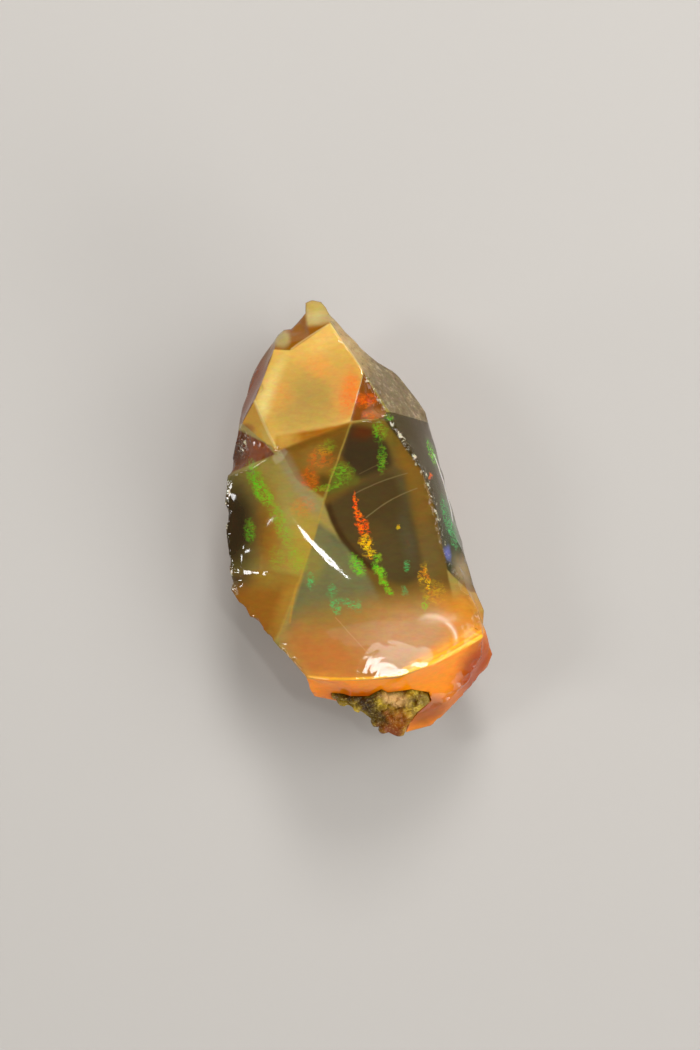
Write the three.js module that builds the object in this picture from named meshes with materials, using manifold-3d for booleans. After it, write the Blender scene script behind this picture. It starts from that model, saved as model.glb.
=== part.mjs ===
// A palm-sized piece of rough opal with a remnant of its host rock, lying on its back.
// Millimetres, +Z up. The long axis is Y, the broad fractured front faces up, and the
// origin is the centre of the footprint, on the surface that the stone lies on.
//
// The stone is described the way a knapper would read it: named corners where ridges meet,
// and fracture faces that span them. Every face is filled with an even net of triangles,
// which settles into a shallow dish, as conchoidal fractures do. Small chips are then bitten
// out of the sharp ridges, and the host rock is set into a shallow seat in the foot.
import * as THREE from 'three';
import { mergeVertices } from 'three/addons/utils/BufferGeometryUtils.js';
import Module from 'manifold-3d';

const wasm = await Module();
wasm.setup();
const { Manifold, Mesh } = wasm;

// ---------------------------------------------------------------- driving dimensions
const LENGTH = 48.2; // of the opal along Y, from tip to toe
const SPACING = 1.2; // edge of the triangles that fill a face
const RIDGE_WANDER = 0.1; // how far a ridge strays from straight between its corners

// the seat of the host rock, in the foot of the stone
const SEAT_SLOPE = THREE.MathUtils.degToRad(48); // tilt of the foot's face there
const SEAT_ORIGIN = [2.5, -20.6, 10.1]; // a point on that face
const SEAT_DEPTH = 1.7;
const SEAT_GAP = 0.25; // clearance between the rock and the seat
const ROCK_RISE = 0.3; // how far the rock stands proud of the face around it
const ABOVE_ALL = 10; // a height over the seat that clears everything

// how a face is filled
const ROW_PITCH = Math.sqrt(3) / 2; // rows of an even triangle net, in edges
const NET_WANDER = 0.1; // how far the net's inner points stray, in edges
const EDGE_MARGIN = 0.55; // nearest that an inner point comes to a ridge, in edges
const SWAP_PASSES = 80;
const SETTLE_PASSES = 400;
const ANGLE_SLACK = 1e-6; // radians
const WELD = 1e-4; // vertices closer than this are one

const X_AXIS = new THREE.Vector3(1, 0, 0);
const Y_AXIS = new THREE.Vector3(0, 1, 0);

// ---------------------------------------------------------------- corners, [x, y, z]
const corners = {
  // the nub at the very tip, the scoop beside it and the small knob below
  nubLeft: [-5.9, 23.8, 9.6],
  nubTop: [-5.2, 24.1, 9.3],
  nubRight: [-4.2, 23.9, 9.2],
  nubShoulder: [-3.3, 22.5, 10.4],
  nubBase: [-5.6, 20.9, 11.9],
  nubWaist: [-5.9, 22.6, 10.4],
  scoopRim: [-7.5, 20.9, 9.6],
  knobTop: [-8.3, 20.8, 9.6],
  knobOut: [-9.0, 20.2, 9.6],
  knobIn: [-7.6, 19.9, 11.4],
  knobFoot: [-7.9, 19.3, 12.1],
  knobHeel: [-9.2, 18.9, 11.7],

  // the crown, a flat hexagon that slopes down to the tip
  crownTop: [-3.2, 21.5, 12.5],
  crownRight: [0.5, 15.9, 15.7],
  crownLowRight: [-1.0, 10.5, 17.4],
  crownLowMid: [-5.7, 8.8, 17.1],
  crownLowLeft: [-9.0, 7.5, 16.7],
  crownLeft: [-11.4, 13.0, 13.9],
  crownHighLeft: [-9.4, 18.4, 12.2],
  crownHigh: [-7.5, 18.7, 12.6],

  // the brow, left of the crown
  browEnd: [-12.8, 10.6, 12.0],
  browLow: [-13.3, 9.4, 10.6],
  browFoot: [-11.4, 8.1, 13.9],

  // the glittering ridge down the right side
  ridge1: [1.3, 14.3, 16.0],
  ridge2: [2.1, 12.8, 16.3],
  ridge3: [3.1, 11.3, 16.6],
  ridge4: [4.5, 8.9, 16.7],
  ridge5: [5.6, 7.6, 16.5],
  ridge6: [6.9, 5.1, 16.1],
  ridge7: [7.2, 3.5, 15.9],
  ridge8: [8.2, 1.1, 15.5],
  ridge9: [8.5, -1.0, 15.1],
  ridge10: [9.0, -3.1, 14.6],
  flashLow: [2.7, 10.4, 16.8],

  // the frosted skin and the right flank
  skinHigh: [2.5, 13.9, 15.4],
  skinLow: [4.9, 10.7, 15.2],
  skinFoot: [6.6, 11.3, 12.0],

  // the left flank and its stepped nicks
  flankTop: [-10.1, 6.4, 15.2],
  flankBrow: [-11.6, 5.5, 13.9],
  flankLip: [-13.5, 4.9, 12.0],
  stepHigh: [-10.7, -5.9, 12.6],
  stepIn: [-10.3, -6.5, 12.6],
  stepLow: [-10.7, -7.0, 12.3],
  stepOut: [-12.5, -7.3, 11.4],

  // low ridges across the great valley of the front
  flash1: [-7.6, 6.0, 15.6],
  flash2: [-6.0, 3.6, 14.7],
  spine1: [-2.3, 6.4, 15.2],
  spine2: [-3.5, 3.3, 14.4],
  spine3: [-4.3, 1.3, 14.1],
  spine4: [-5.0, -1.4, 13.8],
  junction: [-5.7, -4.4, 13.6],
  spine5: [-6.4, -6.8, 13.4],
  spine6: [-7.6, -10.2, 12.9],
  pane1: [-2.6, -0.3, 13.8],
  pane2: [-1.6, -2.2, 13.5],
  pane3: [0.8, -4.7, 13.2],
  pane4: [2.9, -6.8, 13.3],
  pane5: [5.9, -7.1, 13.5],
  pane6: [8.4, -6.1, 13.8],

  // the clear chip and the nibbled rim at the right
  chipIn: [9.8, -4.7, 14.1],
  chipLow: [10.7, -5.9, 13.7],
  chipOut: [11.3, -3.4, 11.9],
  rim1: [11.6, -7.6, 13.4],
  rim2: [13.0, -9.9, 12.8],
  rim3: [13.3, -11.6, 12.6],

  // the keel, the bright ridge above the foot of the stone
  keelEnd: [13.6, -13.0, 12.2],
  keel1: [12.0, -13.7, 13.1],
  keel2: [10.0, -14.9, 13.9],
  keel3: [8.0, -16.1, 14.6],
  keel4: [4.2, -17.4, 15.4],
  keel5: [1.5, -17.6, 15.7],
  keel6: [-0.8, -17.7, 15.6],
  keel7: [-3.3, -17.8, 15.0],
  heelTop: [-5.8, -17.4, 13.9],
  heelSide: [-5.4, -18.8, 11.8],
  footSeam: [-0.9, -19.5, 12.4],

  // the hip, lower right
  hip1: [13.4, -15.2, 10.6],
  hip2: [11.8, -18.0, 9.5],
  hip3: [9.5, -20.3, 8.9],
  hip4: [6.5, -21.7, 8.9],
  hip5: [5.4, -22.4, 8.7],

  // the girdle, clockwise from the tip: the outline seen from above
  girdle1: [-0.5, 19.6, 10.6],
  girdle2: [1.0, 18.0, 10.7],
  girdle3: [4.5, 15.5, 10.4],
  girdle4: [6.4, 13.1, 10.2],
  shoulder: [7.3, 11.7, 10.2],
  girdle5: [7.8, 10.0, 9.7],
  girdle6: [8.7, 7.0, 9.0],
  girdle7: [9.9, 2.3, 8.6],
  girdle8: [10.8, -0.7, 8.5],
  girdle9: [11.9, -4.8, 9.6],
  girdle10: [12.6, -7.3, 10.6],
  girdle11: [13.8, -10.2, 10.9],
  girdle12: [13.7, -11.7, 11.0],
  hipKnob: [14.8, -15.1, 7.8],
  girdle13: [14.3, -16.5, 7.2],
  girdle14: [12.0, -19.3, 6.6],
  girdle15: [9.5, -21.8, 6.3],
  girdle16: [8.0, -23.1, 6.5],
  toe: [4.3, -24.1, 7.6],
  girdle17: [2.8, -23.3, 8.1],
  girdle18: [0.2, -21.1, 9.0],
  girdle19: [-2.9, -20.1, 9.7],
  heel: [-4.9, -19.7, 10.2],
  girdle20: [-7.4, -15.6, 12.6],
  girdle21: [-9.7, -13.2, 11.6],
  girdle22: [-12.7, -10.1, 10.8],
  girdle23: [-14.1, -7.9, 10.5],
  notch: [-13.9, -7.0, 10.2],
  girdle24: [-14.2, -6.0, 10.6],
  girdle25: [-14.6, -2.3, 10.6],
  girdle26: [-14.8, 1.6, 10.7],
  girdle27: [-14.5, 4.5, 11.0],
  girdle28: [-13.9, 6.8, 9.8],
  girdle29: [-13.4, 9.2, 9.8],
  girdle30: [-12.9, 12.3, 8.9],
  girdle31: [-12.1, 15.0, 8.6],
  girdle32: [-10.9, 17.5, 8.8],

  // ridges on the underside, between the girdle and the resting face
  back1: [-6.0, 18.2, 5.4],
  back2: [0.4, 15.2, 4.2],
  back3: [5.4, 7.8, 3.1],
  back4: [8.4, -3.4, 3.7],
  back5: [11.3, -12.9, 2.8],
  back6: [6.9, -18.9, 3.1],
  back7: [-0.4, -18.5, 5.3],
  back8: [-6.2, -12.9, 4.8],
  back9: [-11.6, -7.1, 5.5],
  back10: [-11.4, 2.6, 3.6],
  back11: [-9.8, 12.0, 4.7],

  // the flat face that the stone rests on
  rest1: [-5.6, 11.6, 0],
  rest2: [-0.4, 9.6, 0],
  rest3: [2.4, 5.4, 0],
  rest4: [5.4, -4.4, 0],
  rest5: [7.9, -12.2, 0],
  rest6: [1.2, -14.9, 0],
  rest7: [-4.6, -9.4, 0],
  rest8: [-8.5, -4.4, 0],
  rest9: [-8.1, 4.4, 0],
};

// ---------------------------------------------------------------- fracture faces
// Corners run counter-clockwise seen from outside. hollow is the radius to which the face is
// dished: Infinity is flat, and a negative radius bulges.
const faces = [
  // tip
  { corners: 'nubLeft nubWaist nubBase crownTop nubShoulder nubRight nubTop', hollow: -8 },
  { corners: 'nubWaist scoopRim knobIn knobFoot crownHigh crownTop nubBase', hollow: 4 },
  { corners: 'scoopRim knobTop knobOut knobHeel knobFoot knobIn', hollow: -3 },
  { corners: 'knobFoot knobHeel crownHighLeft crownHigh', hollow: 12 },

  // crown and brow
  {
    corners:
      `crownTop crownHigh crownHighLeft crownLeft crownLowLeft crownLowMid crownLowRight crownRight`,
    hollow: 260,
  },
  {
    corners:
      'knobOut girdle32 girdle31 girdle30 browEnd crownLeft crownHighLeft knobHeel',
    hollow: 40,
  },
  { corners: 'crownLeft browEnd browLow browFoot crownLowLeft', hollow: 25 },
  { corners: 'browEnd girdle30 girdle29 browLow', hollow: 30 },
  {
    corners: 'browLow girdle29 girdle28 girdle27 flankLip flankBrow flankTop crownLowLeft browFoot',
    hollow: 6,
  },

  // skin, flash and right flank
  {
    corners:
      `crownTop crownRight skinHigh skinLow skinFoot shoulder girdle4 girdle3 girdle2 girdle1
        nubShoulder`,
    hollow: -60,
  },
  { corners: 'crownRight crownLowRight flashLow ridge3 ridge2 ridge1', hollow: 18 },
  {
    corners:
      `crownRight ridge1 ridge2 ridge3 ridge4 ridge5 ridge6 ridge7 ridge8 ridge9 ridge10 chipOut
        girdle9 girdle8 girdle7 girdle6 girdle5 shoulder skinFoot skinLow skinHigh`,
    hollow: -30,
  },
  { corners: 'ridge10 chipIn chipLow girdle10 girdle9 chipOut', hollow: 8 },
  { corners: 'chipLow rim1 rim2 rim3 keelEnd girdle12 girdle11 girdle10', hollow: 10 },

  // the great valley
  {
    corners: 'crownLowRight crownLowMid crownLowLeft flash1 flash2 spine3 spine2 spine1',
    hollow: 34,
  },
  {
    corners:
      `crownLowLeft flankTop flankBrow flankLip girdle27 girdle26 girdle25 girdle24 stepHigh stepIn
        junction spine4 spine3 flash2 flash1`,
    hollow: -60,
  },
  {
    corners:
      `crownLowRight spine1 spine2 spine3 pane1 pane2 pane3 pane4 pane5 pane6 chipLow chipIn
        ridge10 ridge9 ridge8 ridge7 ridge6 ridge5 ridge4 ridge3 flashLow`,
    hollow: 26,
  },
  { corners: 'spine3 spine4 junction pane4 pane3 pane2 pane1', hollow: 30 },
  { corners: 'girdle24 notch girdle23 stepOut stepLow stepIn stepHigh', hollow: 4 },
  {
    corners: 'junction stepIn stepLow stepOut girdle23 girdle22 girdle21 spine6 spine5',
    hollow: -90,
  },
  {
    corners:
      `junction spine5 spine6 girdle21 girdle20 heelTop keel7 keel6 keel5 keel4 keel3 keel2 keel1
        keelEnd rim3 rim2 rim1 chipLow pane6 pane5 pane4`,
    hollow: 27,
  },

  // foot and hip
  {
    corners:
      `keel6 footSeam girdle18 girdle17 toe hip5 hip4 hip3 hip2 hip1 keelEnd keel1 keel2 keel3
        keel4 keel5`,
    hollow: 60,
  },
  { corners: 'keel6 keel7 heelTop heelSide heel girdle19 girdle18 footSeam', hollow: 14 },
  { corners: 'keelEnd hip1 hip2 hip3 girdle15 girdle14 girdle13 hipKnob girdle12', hollow: 25 },
  { corners: 'hip3 hip4 hip5 toe girdle16 girdle15', hollow: 14 },

  // underside, clockwise from the tip
  {
    corners:
      `back1 girdle32 knobOut knobTop scoopRim nubWaist nubLeft nubTop nubRight nubShoulder girdle1
        back2`,
    hollow: 40,
  },
  { corners: 'back2 girdle1 girdle2 girdle3 girdle4 shoulder back3', hollow: 36 },
  { corners: 'back3 shoulder girdle5 girdle6 girdle7 girdle8 back4', hollow: 50 },
  { corners: 'back4 girdle8 girdle9 girdle10 girdle11 girdle12 hipKnob back5', hollow: 30 },
  { corners: 'back5 hipKnob girdle13 girdle14 girdle15 back6', hollow: 30 },
  { corners: 'back6 girdle15 girdle16 toe girdle17 girdle18 back7', hollow: 22 },
  { corners: 'back7 girdle18 girdle19 heel heelSide heelTop girdle20 girdle21 back8', hollow: 26 },
  { corners: 'back8 girdle21 girdle22 girdle23 notch girdle24 back9', hollow: 30 },
  { corners: 'back9 girdle24 girdle25 girdle26 girdle27 girdle28 back10', hollow: 44 },
  { corners: 'back10 girdle28 girdle29 girdle30 back11', hollow: 40 },
  { corners: 'back11 girdle30 girdle31 girdle32 back1', hollow: 40 },
  { corners: 'back1 back2 rest2 rest1', hollow: 24 },
  { corners: 'back2 back3 rest3 rest2', hollow: 30 },
  { corners: 'back3 back4 rest4 rest3', hollow: 36 },
  { corners: 'back4 back5 rest5 rest4', hollow: 40 },
  { corners: 'back5 back6 rest6 rest5', hollow: 30 },
  { corners: 'back6 back7 rest6', hollow: 30 },
  { corners: 'back7 back8 rest7 rest6', hollow: 30 },
  { corners: 'back8 back9 rest8 rest7', hollow: 30 },
  { corners: 'back9 back10 rest9 rest8', hollow: 40 },
  { corners: 'back10 back11 back1 rest1 rest9', hollow: 36 },
  { corners: 'rest1 rest2 rest3 rest4 rest5 rest6 rest7 rest8 rest9', hollow: Infinity },
];

// ridges that are nibbled away, with a chip at every so many points
const chippedRidges = [
  { path: 'crownRight ridge1 ridge2 ridge3 ridge4 ridge5 ridge6', every: 1, size: 1.4 },
  { path: 'ridge6 ridge7 ridge8 ridge9 ridge10 chipIn', every: 2, size: 1.5 },
  { path: 'chipLow rim1 rim2 rim3 keelEnd', every: 1, size: 1.4 },
  { path: 'crownLowLeft browFoot browLow girdle29', every: 1, size: 1.5 },
  { path: 'girdle28 girdle27 girdle26 girdle25 girdle24', every: 2, size: 1.6 },
  { path: 'girdle20 girdle21 girdle22 girdle23', every: 2, size: 1.6 },
  { path: 'keelEnd hip1 hip2 hip3 hip4', every: 2, size: 1.5 },
  { path: 'girdle13 girdle14 girdle15 girdle16', every: 2, size: 1.6 },
  { path: 'crownHighLeft crownLeft', every: 3, size: 1.6 },
  { path: 'back3 back4 back5', every: 3, size: 3.4 },
  { path: 'back8 back9 back10', every: 3, size: 3.2 },
];

// outline of the host rock, [x, y] seen from the front, counter-clockwise from its left end
const rockOutline = [
  [-3.0, -19.6],
  [-2.85, -20.1],
  [-0.75, -20.8],
  [0.5, -21.6],
  [2.5, -23.6],
  [4.3, -24.8],
  [5.4, -22.5],
  [6.4, -21.4],
  [7.8, -20.6],
  [7.5, -19.9],
  [5.7, -19.2],
  [3.1, -19.2],
  [2.5, -18.6],
  [1.2, -19.5],
  [-0.75, -19.3],
];

// ---------------------------------------------------------------- the ridge net
const drawnY = Object.values(corners).map(([, y]) => y);
const SCALE = LENGTH / (Math.max(...drawnY) - Math.min(...drawnY));

const points = []; // every vertex of the stone, as a Vector3
const cornerIndex = {};
for (const [name, place] of Object.entries(corners)) {
  cornerIndex[name] = points.length;
  points.push(new THREE.Vector3(...place).multiplyScalar(SCALE));
}

// a repeatable value between -1 and 1 for any number
function scatter(n) {
  return 2 * THREE.MathUtils.euclideanModulo(Math.sin(n * 12.9898) * 43758.5453, 1) - 1;
}

// the points along the straight from one corner to the next, without either end
function ridgeBetween(from, to) {
  const steps = Math.max(1, Math.round(from.distanceTo(to) / SPACING));
  const resting = from.z === 0 && to.z === 0;
  const between = [];
  for (let i = 1; i < steps; i++) {
    const n = points.length;
    const stray = new THREE.Vector3(scatter(n), scatter(n + 0.3), resting ? 0 : scatter(n + 0.7));
    points.push(from.clone().lerp(to, i / steps).addScaledVector(stray, RIDGE_WANDER));
    between.push(n);
  }
  return between;
}

// vertices along the ridge from corner a up to corner b, shared by the faces on both sides
const ridges = {};
function ridge(a, b) {
  const key = [a, b].sort().join(' ');
  ridges[key] ??= ridgeBetween(...key.split(' ').map((name) => points[cornerIndex[name]]));
  const between = key.startsWith(`${a} `) ? ridges[key] : [...ridges[key]].reverse();
  return [cornerIndex[a], ...between];
}

// ---------------------------------------------------------------- filling a face
// the mean normal of a closed loop of points
function loopNormal(loop) {
  const normal = new THREE.Vector3();
  loop.forEach((p, i) => normal.add(p.clone().cross(loop[(i + 1) % loop.length])));
  return normal.normalize();
}

// twice the area of the flat triangle a, b, c: positive when it turns counter-clockwise
function turn(a, b, c) {
  return (b.x - a.x) * (c.y - a.y) - (b.y - a.y) * (c.x - a.x);
}

// the angle at a corner of a flat triangle
function cornerAngle(at, p, q) {
  const a = p.clone().sub(at);
  const b = q.clone().sub(at);
  return Math.atan2(Math.abs(a.cross(b)), a.dot(b));
}

// each directed edge of the triangles, with its triangle and that triangle's far corner
function edgesOf(triangles) {
  const edges = new Map();
  for (const [t, triangle] of triangles.entries()) {
    for (let i = 0; i < 3; i++) {
      edges.set(`${triangle[i]} ${triangle[(i + 1) % 3]}`, { t, far: triangle[(i + 2) % 3] });
    }
  }
  return edges;
}

// swaps the diagonals of neighbouring triangles until every pair has its better diagonal
function evenOut(flat, triangles) {
  let swaps = 1;
  for (let pass = 0; swaps > 0 && pass < SWAP_PASSES; pass++) {
    swaps = 0;
    const edges = edgesOf(triangles);
    const touched = new Set();
    for (const [key, { t, far: c }] of edges) {
      const [a, b] = key.split(' ').map(Number);
      const twin = edges.get(`${b} ${a}`);
      if (!twin || touched.has(t) || touched.has(twin.t)) continue;
      const d = twin.far;
      const across = cornerAngle(flat[c], flat[a], flat[b]) + cornerAngle(flat[d], flat[a], flat[b]);
      if (across <= Math.PI + ANGLE_SLACK) continue;
      if (turn(flat[c], flat[d], flat[b]) <= 0 || turn(flat[d], flat[c], flat[a]) <= 0) continue;
      triangles[t] = [c, d, b];
      triangles[twin.t] = [d, c, a];
      touched.add(t);
      touched.add(twin.t);
      swaps++;
    }
  }
}

// distance from a flat point to a closed flat loop
function distanceToLoop(p, loop) {
  const at = new THREE.Vector3(p.x, p.y, 0);
  const nearest = new THREE.Vector3();
  const gaps = loop.map((a, i) => {
    const b = loop[(i + 1) % loop.length];
    const side = new THREE.Line3(new THREE.Vector3(a.x, a.y, 0), new THREE.Vector3(b.x, b.y, 0));
    return side.closestPointToPoint(at, true, nearest).distanceTo(at);
  });
  return Math.min(...gaps);
}

// adds an even net of inner points to a flat face, splitting the triangles that they fall in
function addInnerPoints(flat, triangles) {
  const outline = [...flat];
  const rows = Math.ceil(Math.max(...flat.map((p) => p.length())) / (SPACING * ROW_PITCH));
  for (let row = -rows; row <= rows; row++) {
    for (let column = -rows; column <= rows; column++) {
      const n = points.length + flat.length;
      const p = new THREE.Vector2(column + (row & 1) / 2, row * ROW_PITCH);
      p.x += scatter(n) * NET_WANDER;
      p.y += scatter(n + 0.5) * NET_WANDER;
      p.multiplyScalar(SPACING);
      const home = triangles.findIndex((triangle) => {
        return triangle.every((a, i) => turn(flat[a], flat[triangle[(i + 1) % 3]], p) > 0);
      });
      if (home < 0 || distanceToLoop(p, outline) < SPACING * EDGE_MARGIN) continue;
      const [a, b, c] = triangles[home];
      const added = flat.length;
      flat.push(p);
      triangles[home] = [a, b, added];
      triangles.push([b, c, added], [c, a, added]);
    }
  }
}

// lets the inner points sink until the face is a dish of the wanted radius
function settle(flat, height, triangles, radius) {
  const neighbours = flat.map(() => new Set());
  for (const triangle of triangles) {
    triangle.forEach((n, i) => neighbours[n].add(triangle[(i + 1) % 3]).add(triangle[(i + 2) % 3]));
  }
  const firstInner = height.length;
  for (let n = firstInner; n < flat.length; n++) height.push(0);
  for (let pass = 0; pass < SETTLE_PASSES; pass++) {
    for (let n = firstInner; n < flat.length; n++) {
      const near = [...neighbours[n]];
      const level = near.reduce((sum, m) => sum + height[m], 0) / near.length;
      const spread = near.reduce((sum, m) => sum + flat[m].distanceToSquared(flat[n]), 0) / near.length;
      height[n] = level - spread / (2 * radius);
    }
  }
}

// the triangles of one fracture face
function fillFace({ corners: names, hollow }) {
  const cycle = names.split(/\s+/);
  const rim = cycle.flatMap((name, i) => ridge(name, cycle[(i + 1) % cycle.length]));
  const loop = rim.map((n) => points[n]);
  const middle = loop.reduce((sum, p) => sum.add(p), new THREE.Vector3()).divideScalar(loop.length);
  const up = loopNormal(loop);
  const across = new THREE.Vector3().crossVectors(Math.abs(up.y) < 0.9 ? Y_AXIS : X_AXIS, up).normalize();
  const along = new THREE.Vector3().crossVectors(up, across);

  // the face laid flat, with its heights over the mean plane kept apart
  const local = loop.map((p) => p.clone().sub(middle));
  const flat = local.map((p) => new THREE.Vector2(p.dot(across), p.dot(along)));
  const height = local.map((p) => p.dot(up));
  const triangles = THREE.ShapeUtils.triangulateShape([...flat], []);
  addInnerPoints(flat, triangles);
  evenOut(flat, triangles);
  settle(flat, height, triangles, hollow * SCALE);

  const vertex = [...rim];
  for (let n = rim.length; n < flat.length; n++) {
    const place = middle.clone().addScaledVector(across, flat[n].x).addScaledVector(along, flat[n].y);
    vertex.push(points.length);
    points.push(place.addScaledVector(up, height[n]));
  }
  return triangles.map((triangle) => triangle.map((n) => vertex[n]));
}

const net = faces.flatMap(fillFace);

// the outward normal of the stone at each of its points
const outward = points.map(() => new THREE.Vector3());
for (const triangle of net) {
  const [a, b, c] = triangle.map((n) => points[n]);
  const normal = b.clone().sub(a).cross(c.clone().sub(a));
  for (const n of triangle) outward[n].add(normal);
}
outward.forEach((normal) => normal.normalize());

// ---------------------------------------------------------------- solids
function toManifold(vertices, triangles) {
  const mesh = new Mesh({
    numProp: 3,
    vertProperties: new Float32Array(vertices.flatMap((p) => [p.x, p.y, p.z])),
    triVerts: new Uint32Array(triangles.flat()),
  });
  return new Manifold(mesh);
}

// a closed three.js geometry, placed by a matrix, as a solid
function geometryToManifold(geometry, matrix) {
  const bare = geometry.clone().applyMatrix4(matrix);
  bare.deleteAttribute('normal');
  bare.deleteAttribute('uv');
  const { attributes, index } = mergeVertices(bare, WELD);
  const mesh = new Mesh({ numProp: 3, vertProperties: attributes.position.array, triVerts: index.array });
  return new Manifold(mesh);
}

// a solid as a named three.js mesh
function toMesh(name, solid, color, roughness) {
  const { vertProperties, triVerts } = solid.getMesh();
  const geometry = new THREE.BufferGeometry();
  geometry.setAttribute('position', new THREE.BufferAttribute(vertProperties, 3));
  geometry.setIndex([...triVerts]);
  const material = new THREE.MeshStandardMaterial({ color, roughness, metalness: 0 });
  const mesh = new THREE.Mesh(geometry, material);
  mesh.name = name;
  return mesh;
}

// a small lump, centred at a height over one of the stone's points
function lumpAt(n, radius, height, roundness) {
  const frame = new THREE.Object3D();
  frame.position.copy(points[n]).addScaledVector(outward[n], height);
  frame.rotation.set(n, n * 2.1, n * 3.7);
  frame.scale.set(radius, radius * (1.1 + 0.3 * scatter(n + 0.8)), radius);
  frame.updateMatrix();
  return geometryToManifold(new THREE.IcosahedronGeometry(1, roundness), frame.matrix);
}

// ---------------------------------------------------------------- chips along the ridges
function chipsAlong({ path, every, size }) {
  const cycle = path.split(' ');
  const line = cycle.slice(1).flatMap((name, i) => ridge(cycle[i], name));
  const bitten = line.filter((n, i) => i % every === 1 % every);
  return bitten.map((n) => {
    const radius = size * (1 + 0.45 * scatter(n + 0.2)) * SCALE;
    const bite = radius * (0.15 + 0.08 * scatter(n + 0.4));
    return lumpAt(n, radius, radius - bite, 1);
  });
}

// ---------------------------------------------------------------- the host rock in its seat
// The seat's frame: X across, Y up the slope of the foot, Z out of the face.
const seat = new THREE.Object3D();
seat.position.set(...SEAT_ORIGIN).multiplyScalar(SCALE);
seat.rotation.x = SEAT_SLOPE;
seat.scale.setScalar(SCALE);
seat.updateMatrix();

// a prism over the rock's outline, grown all round, between two heights over the seat's face
function seatPrism(grow, low, high) {
  const [x0, y0] = SEAT_ORIGIN;
  const outline = rockOutline.map(([x, y]) => new THREE.Vector2(x - x0, (y - y0) / Math.cos(SEAT_SLOPE)));
  const grown = outline.map((p, i) => {
    const side = outline[(i + 1) % outline.length].clone().sub(outline.at(i - 1)).normalize();
    return new THREE.Vector2(p.x + side.y * grow, p.y - side.x * grow);
  });
  const prism = new THREE.ExtrudeGeometry(new THREE.Shape(grown), { depth: high - low, bevelEnabled: false });
  return geometryToManifold(prism.translate(0, 0, low), seat.matrix);
}

// whether a point is on the front of the stone, inside the rock's outline
function isUnderRock(n) {
  const { x, y } = points[n].clone().divideScalar(SCALE);
  const inside = rockOutline.reduce((odd, [ax, ay], i) => {
    const [bx, by] = rockOutline[(i + 1) % rockOutline.length];
    const crosses = ay > y !== by > y && x < ax + ((y - ay) / (by - ay)) * (bx - ax);
    return crosses ? !odd : odd;
  }, false);
  return inside && outward[n].z > 0;
}

// ---------------------------------------------------------------- the two pieces
const rough = toManifold(points, net);

function makeOpal() {
  const chips = Manifold.union(chippedRidges.flatMap(chipsAlong));
  return rough.subtract(chips).subtract(seatPrism(SEAT_GAP, -SEAT_DEPTH, ABOVE_ALL));
}

// the stone's own surface, raised a little, roughened with grains and pits, inside the outline
function makeHostRock() {
  const raised = new THREE.Vector3(0, -Math.sin(SEAT_SLOPE), Math.cos(SEAT_SLOPE)).multiplyScalar(ROCK_RISE);
  const spots = [...points.keys()].filter(isUnderRock);
  const grains = spots.map((n) => lumpAt(n, (0.8 + 0.4 * scatter(n + 0.1)) * SCALE, 0, 0));
  const pits = spots.filter((n) => scatter(n) > 0).map((n) => lumpAt(n, 0.9 * SCALE, 1.1 * SCALE, 0));
  const broken = rough.translate(raised.toArray()).add(Manifold.union(grains)).subtract(Manifold.union(pits));
  return broken.intersect(seatPrism(0, SEAT_GAP - SEAT_DEPTH, ABOVE_ALL));
}

const part = new THREE.Group();
part.name = 'rough_opal';
part.add(toMesh('opal', makeOpal(), 0xb5702c, 0.2));
part.add(toMesh('host_rock', makeHostRock(), 0x7a6a32, 0.85));

// the footprint's centre is the origin
const box = new THREE.Box3().setFromObject(part);
const middle = box.getCenter(new THREE.Vector3());
part.position.set(-middle.x, -middle.y, -box.min.z);
export default part;
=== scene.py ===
"""A piece of rough opal with a remnant of host rock, seen from straight above.

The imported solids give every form. Here they get their fine surface: smooth glassy dishes
between crisp ridges, shallow steps, ripples around the blow that split the stone, crushed
edges, frosted skin and grit. Their colours are worked out by nodes, in millimetres too.
"""

import math

import bmesh
import bpy
import numpy as np
from mathutils import Matrix, Vector


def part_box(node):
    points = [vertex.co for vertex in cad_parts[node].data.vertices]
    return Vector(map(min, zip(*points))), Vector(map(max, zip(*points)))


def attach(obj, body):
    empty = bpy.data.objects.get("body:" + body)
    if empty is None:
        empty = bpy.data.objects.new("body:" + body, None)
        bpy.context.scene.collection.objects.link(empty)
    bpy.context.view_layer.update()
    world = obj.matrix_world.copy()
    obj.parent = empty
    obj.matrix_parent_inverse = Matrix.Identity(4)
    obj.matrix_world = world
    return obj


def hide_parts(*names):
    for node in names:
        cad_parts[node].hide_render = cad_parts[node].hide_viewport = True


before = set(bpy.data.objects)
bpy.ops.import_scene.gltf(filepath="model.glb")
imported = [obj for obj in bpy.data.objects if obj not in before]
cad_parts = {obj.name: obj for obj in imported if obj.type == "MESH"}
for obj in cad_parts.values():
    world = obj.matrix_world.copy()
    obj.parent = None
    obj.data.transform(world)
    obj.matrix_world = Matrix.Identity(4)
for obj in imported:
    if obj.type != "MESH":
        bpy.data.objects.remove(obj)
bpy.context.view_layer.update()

# ---------------------------------------------------------------- the stone's own millimetres
# Places on the stone are given in millimetres on a stone whose tip is at y = 24.1 and whose
# widest points are at x = -14.8 and 14.8, and are fitted to the frame's stone here.
DRAWN_TIP_Y = 24.1
DRAWN_WIDTH = 29.6
STONE_LOW, STONE_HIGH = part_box("opal")
UNIT = (STONE_HIGH[0] - STONE_LOW[0]) / DRAWN_WIDTH
CENTRE_X = (STONE_HIGH[0] + STONE_LOW[0]) / 2
ORIGIN = Vector((CENTRE_X, STONE_HIGH[1] - DRAWN_TIP_Y * UNIT, 0.0))


# ---------------------------------------------------------------- meshes
WELD_DISTANCE = 2e-6  # in metres


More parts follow.
